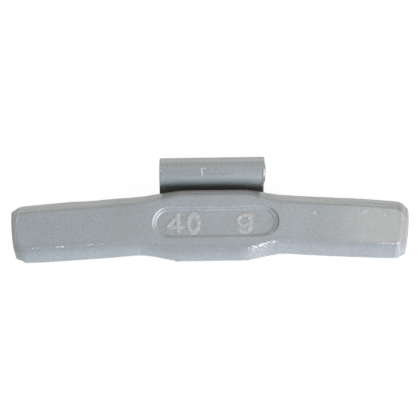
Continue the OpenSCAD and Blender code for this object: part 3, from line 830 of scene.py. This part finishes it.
class BarValues:
    """What the bar's marks are drawn by: the place in millimetres, its x and y, the distances past
    both creases, the recess's wall and marks, and two fine noises."""

    def __init__(self, tree):
        self.place = millimetres(tree)
        split = shader(tree, "ShaderNodeSeparateXYZ", {0: self.place}).outputs
        self.x, self.y = split["X"], split["Y"]
        self.lower = marked(tree, "past lower crease")
        self.upper = marked(tree, "past upper crease")
        self.wall, self.mark = marked(tree, "recess wall"), marked(tree, "mark")
        self.fine = noise(tree, self.place, 4.5, 1.0)
        self.other = noise(tree, moved(tree, self.place, (31, 7, 0)), 4.0, 1.0)


def bar_tone(tree, at):
    """The factor on the bar's colour: 1 less the darker places and more the lighter ones, each a
    product of masks and an amount. Most of them are painted shade and painted light."""
    streaks = shader(tree, "ShaderNodeCombineXYZ", {
        "X": times(tree, at.x, 0.07), "Y": times(tree, at.upper, 2.8)}).outputs[0]
    drawn = math(tree, "SUBTRACT", noise(tree, streaks, 1.0, 1.0), 0.5)
    on_top_slope = remap(tree, at.upper, 0.0, 0.4)
    darker = total(tree, *(times(tree, *masks) for masks in [
        # The painted shadow of the hook on the boss's top slope
        (marked(tree, "painted_hook_shadow"), 0.82),
        # Lines beside the creases and along the recess's wall
        (beside_line(tree, at.upper, 0.1, 0.5), 0.1),
        (beside_line(tree, at.lower, -0.2, 1.3), 0.13),
        (beside_line(tree, at.wall, 0.35, 0.3), 0.05),
        # Painted shade on the recess's right and lower walls
        (at.wall, remap(tree, at.x, 11.3, 12.6), 0.45),
        (at.wall, remap(tree, at.y, LABEL_MID_Y - 1.8, LABEL_MID_Y - 2.4), 0.15),
        # Painted shade on the slope of the right end
        (remap(tree, at.x, 37.6, 38.4), within(tree, at.lower, 0.2, 8.0, 0.2), 0.12)]))
    lighter = total(tree, *(times(tree, *masks) for masks in [
        # Painted light on the edge above the upper slope, and on the upper corner of the right end
        (within(tree, at.upper, 1.5, 3.2, 0.9), 0.08),
        (remap(tree, at.x, 38.0, 39.2), remap(tree, at.upper, 0.0, 0.5), 0.2),
        # Painted light on the lower slope, more so under the boss and to its left, and on its right
        # end
        (remap(tree, at.lower, -0.6, -3.0), remap(tree, at.x, 16.0, 8.0, 0.075, 0.18)),
        (remap(tree, at.x, 38.2, 39.0), remap(tree, at.lower, 0.0, -0.4), 0.06),
        # The painted glow round the painted sparkle
        (within(tree, at.x, *SPARKLE_GLOW), remap(tree, at.lower, -0.3, -1.0), 0.1),
        # The drawn lines of the upper slope, which is a little darker on the right
        (on_top_slope, drawn, 0.65),
        (on_top_slope, remap(tree, at.x, 8.0, 14.0, 0.0, -0.03))]))
    return total(tree, math(tree, "SUBTRACT", 1.0, darker), lighter)


def bar_thin_coat_and_sheen(tree, at):
    """The share of pale colour: a painted sheen in blotches on the right arm's face, and thin coat on
    the marks' worn tops.
    """
    blotch = noise(tree, moved(tree, at.place, (5, 0, 3)), 0.5, 2.0)
    on_face = times(tree, remap(tree, at.lower, 0.0, 0.3), remap(tree, at.upper, 0.0, -0.3))
    right_arm_sheen = times(tree, remap(tree, at.x, *RIGHT_ARM),
                      remap(tree, blotch, 0.25, 0.7, 0.65, 1.0), on_face)
    tops = times(tree, at.mark, remap(tree, at.other, 0.38, 0.6, 0.25, 1.0))
    return most(tree, times(tree, right_arm_sheen, 0.27), times(tree, tops, 0.62))


def crease_wear(tree, at):
    """The bright flecks and the dark pits of the lower crease's worn stretches, where two fine
    noises pass their limits."""
    worn = most(tree, *(within(tree, at.x, *stretch) for stretch in WORN))
    strewn = most(tree, within(tree, at.x, *STREWN),
                  times(tree, within(tree, at.x, *FAINTLY_STREWN), 0.4))
    on_crease = times(tree, worn, within(tree, at.lower, -0.15, 0.15, 0.1),
                      remap(tree, at.fine, 0.53, 0.6))
    under_it = times(tree, strewn, within(tree, at.lower, -0.9, 0.0, 0.2),
                     remap(tree, at.other, 0.62, 0.67), 0.8)
    pits = times(tree, worn, within(tree, at.lower, -0.6, 0.0, 0.1),
                 remap(tree, at.other, 0.58, 0.64))
    return most(tree, on_crease, under_it), pits


def painted_sparkle_patch(tree, at):
    """Painted sparkling highlights right of the boss's middle: sparse flecks down the lower slope,
    which thicken towards the crease."""
    near = times(tree, remap(tree, at.lower, -0.9, -0.1), remap(tree, at.lower, 0.2, 0.0))
    down = times(tree, remap(tree, at.lower, -2.6, -0.5), remap(tree, at.lower, 0.2, 0.0))
    raised = total(tree, at.fine, times(tree, near, 0.1), times(tree, down, 0.07))
    return times(tree, within(tree, at.x, *SPARKLE_PATCH), remap(tree, raised, 0.63, 0.7), down)


def painted_recess_highlights(tree, at):
    """Painted highlights in the recess: on its left wall, more so towards the top, and glints on its
    upper wall and on the marks."""
    high = remap(tree, at.y, LABEL_MID_Y - 2.2, LABEL_MID_Y + 2.0, 0.4, 0.8)
    left_wall = times(tree, at.wall, remap(tree, at.x, -8.6, -10.6), high)
    upper_wall = times(tree, at.wall, remap(tree, at.y, LABEL_MID_Y, LABEL_MID_Y + 2.0),
                       remap(tree, at.other, 0.56, 0.62), 0.3)
    return most(tree, left_wall, upper_wall,
                times(tree, at.mark, remap(tree, at.fine, 0.58, 0.64), 0.3))


def bar_marks(tree, small_nick):
    """On the bar: its tone, with a painted shadow under the hook, a painted sheen on the right arm,
    flecks and pits along the lower crease, painted sparkling highlights right of the boss's middle,
    painted light and shade on the walls round the recess, a double scratch, a painted highlight down
    the right end, and a few dents, dots and holes."""
    at = BarValues(tree)
    flecks, pits = crease_wear(tree, at)
    scratches, dots, holes = (
        nicks(tree, small_nick, places) for places in (BAR_SCRATCHES_AND_GLINT, BAR_DOTS, BAR_HOLES))
    # Painted highlights on the recess, right of the boss and down the right end join the bright share
    bright = most(tree, times(tree, flecks, 0.8), times(tree, painted_sparkle_patch(tree, at), 0.8),
                  scratches, dots, painted_recess_highlights(tree, at))
    dark = most(tree, times(tree, pits, 0.5), holes)
    grooves = most(tree, pits, holes, scratches)
    return bar_tone(tree, at), bar_thin_coat_and_sheen(tree, at), dark, bright, grooves


def clip_marks(tree, small_nick):
    """On the clip: faint rolled lines along its width, a painted sheen on the hook's front, a painted
    shadow in the neck under the hook, a painted highlight on the burr's bevel with a painted shade
    line inside it, a T-shaped scratch on the hook's front, dark and bright specks at the left edge,
    and a tongue whose cut end is dark towards the left."""
    place = millimetres(tree)
    x = shader(tree, "ShaderNodeSeparateXYZ", {0: place}).outputs["X"]
    along, across = marked(tree, "along"), marked(tree, "across")
    lines = shader(tree, "ShaderNodeCombineXYZ", {
        "X": times(tree, x, 0.12), "Y": times(tree, along, 2.4)}).outputs[0]
    # The hook front's share lightens it as a painted sheen
    factor = total(tree, 0.9, times(tree, noise(tree, lines, 1.0, 2.0), 0.2),
                   times(tree, marked(tree, "front_sheen"), 0.06))
    scratches = nicks(tree, small_nick, CLIP_SCRATCHES)
    specks = times(tree, remap(tree, x, -9.0, -10.2), remap(tree, along, 14.0, 16.0),
                   remap(tree, noise(tree, moved(tree, place, (0, 6, 1)), 3.8, 1.0), 0.54, 0.64), 0.22)
    # The burr's share is a painted highlight
    bright = most(tree, times(tree, marked(tree, "bevel"), 0.75), scratches, specks)
    stains = times(tree, remap(tree, across, -0.93, -0.98),
                   remap(tree, noise(tree, place, 3.5, 1.0), 0.56, 0.64), 0.35)
    cut_end = times(tree, remap(tree, along, 0.16, 0.1), remap(tree, x, 4.0, -7.0), 0.75)
    # The neck's share is a painted shadow, and the line's a painted shade
    dark = most(tree, marked(tree, "neck_shadow"), times(tree, marked(tree, "line"), 0.45), stains, cut_end)
    return factor, 0.0, dark, bright, scratches


shared = coat_grain(), nick()
body_coat = coat("cast bar coat", BAR_GREY, 0.48, bar_marks, *shared)
clip_coat = coat("spring clip coat", CLIP_GREY, 0.42, clip_marks, *shared)

bar = piece("cast_bar", cast_bar())
bar.data.materials.append(body_coat)
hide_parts("weight_body")
for number, mesh in enumerate(pressed_lips(), 1):
    lip = piece(f"pressed_lip_{number}", mesh)
    lip.data.materials.append(body_coat)
strip = piece("spring_clip", spring_strip())
strip.data.materials.append(clip_coat)
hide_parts("rim_clip")


# Floor, light and camera

# The floor's half width, and the white that the camera sees on it
FLOOR_HALF_W, FLOOR_WHITE, FLOOR_WHITE_SHARE = 3.0, 1.08, 0.86

# The photograph's frame, in pixels, with the place of the hook's seat, and its scale
PHOTO_SIZE, SEAT_AT, PIXEL = 420, (212.3, 174.8), 0.202 * MM

# The camera's lean below the face's normal, its yaw to the right and its roll, and its lens
CAMERA_LEAN, CAMERA_YAW, CAMERA_ROLL = np.radians([15.5, 3.0, 0.82])
LENS, SENSOR, FACE_AHEAD = 600.0, 36.0, 8 * MM


def blended(tree, share, one, other):
    """A surface or light with a share of another over it."""
    made = tree.nodes.new("ShaderNodeMixShader")
    for place, value in enumerate((share, one.outputs[0], other.outputs[0])):
        tree.links.new(value, made.inputs[place])
    return made.outputs[0]


def floor(level):
    """A plain pale floor. The camera sees it as mostly plain white with a share of its shading, so
    that the background is white and the contact shadow stays."""
    mesh = bpy.data.meshes.new("floor")
    w = FLOOR_HALF_W
    corners = [(-w, -w, level), (w, -w, level), (w, w, level), (-w, w, level)]
    mesh.from_pydata(corners, [], [(0, 1, 2, 3)])
    material = bpy.data.materials.new("pale floor")
    tree = empty_tree(material)
    diffuse = shader(tree, "ShaderNodeBsdfDiffuse", {"Color": (0.85, 0.85, 0.85, 1)})
    white = shader(tree, "ShaderNodeEmission", {"Color": (1, 1, 1, 1), "Strength": FLOOR_WHITE})
    seen = shader(tree, "ShaderNodeLightPath").outputs
    rays = most(tree, *(seen[f"Is {kind} Ray"] for kind in ("Camera", "Glossy", "Transmission")))
    shader(tree, "ShaderNodeOutputMaterial", {
        "Surface": blended(tree, times(tree, rays, FLOOR_WHITE_SHARE), diffuse, white)})
    mesh.materials.append(material)
    made = linked("floor", mesh)


def lamp(name, azimuth, elevation, distance, size, power, colour):
    """A soft square lamp that faces the weight from an azimuth (0 in front, 90 at the right) and an
    elevation, in degrees."""
    a, e = np.radians([azimuth, elevation])
    toward = Vector((np.sin(a) * np.cos(e), -np.cos(a) * np.cos(e), np.sin(e)))
    data = bpy.data.lights.new(name, "AREA")
    data.size, data.energy, data.color = size, power, colour
    made = linked(name, data)
    made.location = toward * distance
    made.rotation_mode = "QUATERNION"
    made.rotation_quaternion = toward.to_track_quat("Z", "Y")


def surroundings(strength, colour):
    """The even light of the room, which the camera sees as white."""
    world = bpy.data.worlds.new("room")
    bpy.context.scene.world = world
    tree = empty_tree(world)
    even = shader(tree, "ShaderNodeBackground", {"Color": (*colour, 1), "Strength": strength})
    white = shader(tree, "ShaderNodeBackground", {"Color": (1, 1, 1, 1), "Strength": 1.0})
    seen = shader(tree, "ShaderNodeLightPath").outputs["Is Camera Ray"]
    shader(tree, "ShaderNodeOutputWorld", {"Surface": blended(tree, seen, even, white)})


def camera():
    """A long lens at the photograph's angle, so far away that a pixel of the photograph covers its
    scale at the depth of the face."""
    lean, yaw, roll = REST_TILT + CAMERA_LEAN, CAMERA_YAW, CAMERA_ROLL
    toward = np.array([np.sin(yaw), -np.sin(lean) * np.cos(yaw), np.cos(lean) * np.cos(yaw)])
    level = np.array([np.cos(yaw), np.sin(lean) * np.sin(yaw), -np.cos(lean) * np.sin(yaw)])
    rise = np.array([0, np.cos(lean), np.sin(lean)])
    right = level * np.cos(roll) - rise * np.sin(roll)
    up = level * np.sin(roll) + rise * np.cos(roll)
    data = bpy.data.cameras.new("photo camera")
    data.lens, data.sensor_width = LENS, SENSOR
    distance = PHOTO_SIZE * PIXEL * LENS / SENSOR
    aim = (right * (PHOTO_SIZE / 2 - SEAT_AT[0]) + up * (SEAT_AT[1] - PHOTO_SIZE / 2)) * PIXEL
    made = linked("photo camera", data)
    made.matrix_world = Matrix.Translation(Vector(aim + toward * (distance + FACE_AHEAD))) @ Matrix(
        np.stack([right, up, toward], 1).tolist()).to_4x4()
    data.clip_start, data.clip_end = 0.01, 20.0
    bpy.context.scene.camera = made


floor(cad_box[0][2])
surroundings(0.05, (1.0, 1.0, 1.0))
lamp("front lamp", 0, 35, 1.2, 0.6, 5.8, (0.70, 0.91, 1.0))
lamp("low right lamp", 45, 15, 0.25, 0.12, 0.42, (1.0, 0.9, 0.97))
lamp("right lamp", 90, 45, 0.25, 0.12, 0.16, (1.0, 0.91, 0.76))
lamp("rear lamp", 180, 15, 1.2, 0.6, 4.6, (0.98, 0.97, 0.94))
lamp("rear left lamp", 225, 60, 1.2, 0.6, 4.5, (1.0, 0.91, 0.82))
lamp("left lamp", 270, 20, 1.2, 0.6, 3.5, (1.0, 0.83, 0.64))
camera()
bpy.context.scene.view_settings.view_transform = "Standard"
